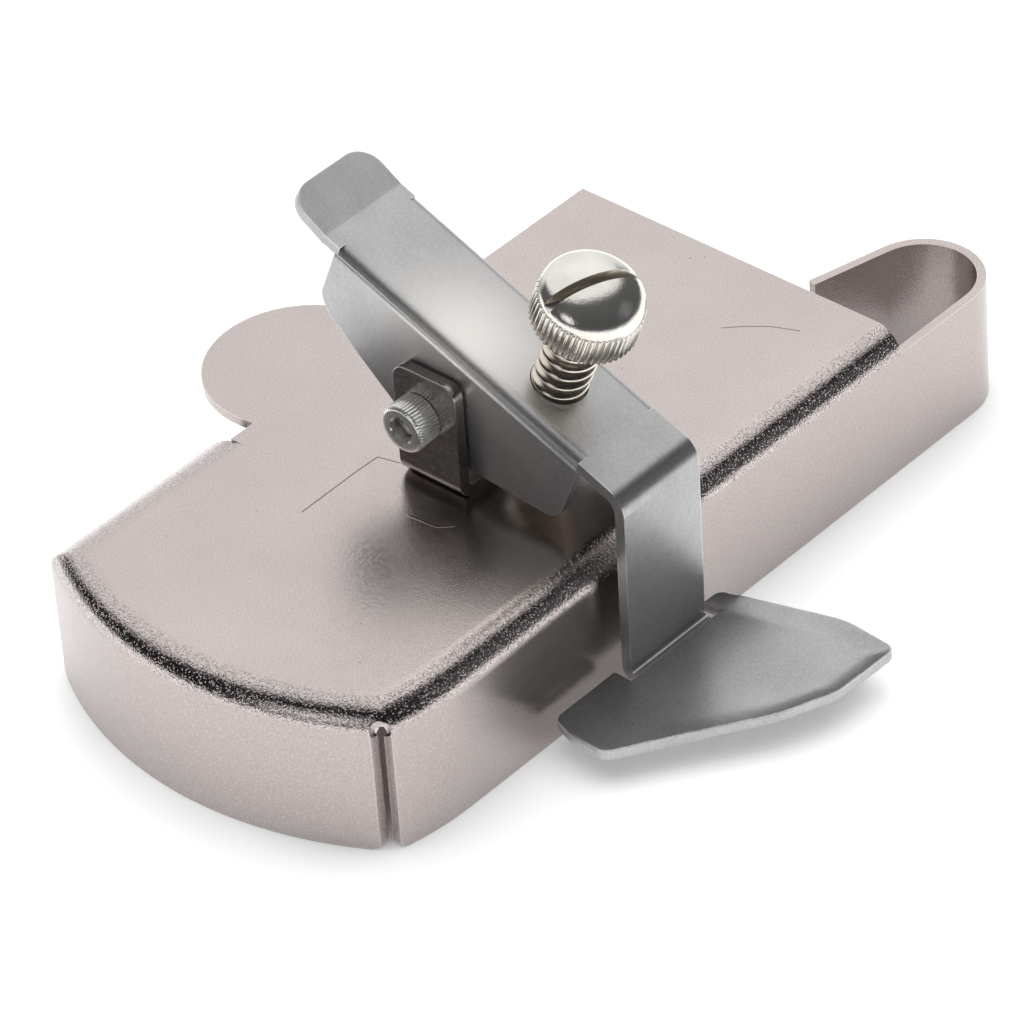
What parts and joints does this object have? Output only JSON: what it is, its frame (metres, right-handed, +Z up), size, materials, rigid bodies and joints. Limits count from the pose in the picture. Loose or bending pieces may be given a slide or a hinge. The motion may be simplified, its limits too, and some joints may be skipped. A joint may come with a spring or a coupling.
{
  "type": "honing guide",
  "caption": "Pressed sheet-metal bed cover with a guide wall and open loop, carrying a sprung rocking arm whose foot height is set by a knurled stop screw.",
  "frame": {"origin": "axis of the open loop, in the plane of the rim", "axes": "+Z up out of the top, along the loop's axis; +X from the guide wall's outer face towards the foot; +Y towards the loop at the back"},
  "size_m": [0.0783, 0.1032, 0.0473],
  "materials": {
    "cover": "satin nickel plate",
    "bracket": "satin nickel plate",
    "rivet": "satin",
    "arm": "fine matt",
    "bush": "nickel plated",
    "fastener": "bright",
    "spring": "drawn wire",
    "stop_screw": "bright nickel plate"
  },
  "bodies": {
    "bed": {"bed_cover": "cover", "pivot_bracket": "bracket", "bracket_rivets": "rivet", "pivot_bush": "bush", "pivot_screw": "fastener", "pivot_nut": "fastener", "return_spring": "spring"},
    "arm": {"rocker_arm": "arm"},
    "stud": {"stop_screw_stud": "stop_screw"},
    "knob": {"stop_screw_head": "stop_screw"}
  },
  "joints": [
    {"name": "arm_pivot", "type": "hinge", "parent": "bed", "child": "arm", "pos_m": [-0.01535, -0.05285, 0.0262], "axis": [0, -1, 0], "range_deg": [0, 35], "deforming": ["return_spring"]},
    {"name": "stop_travel", "type": "slide", "parent": "arm", "child": "stud", "axis": [0.3827, 0, 0.9239], "range_m": [0, 0.0075]},
    {"name": "stop_turn", "type": "hinge", "parent": "stud", "child": "knob", "pos_m": [-0.00335, -0.0527, 0.03139], "axis": [0.3827, 0, 0.9239], "range_deg": [0, 1800]}
  ],
  "couplings": [
    {"joint": "stop_turn", "follows": "stop_travel", "rad_per_m": 4188.8}
  ]
}
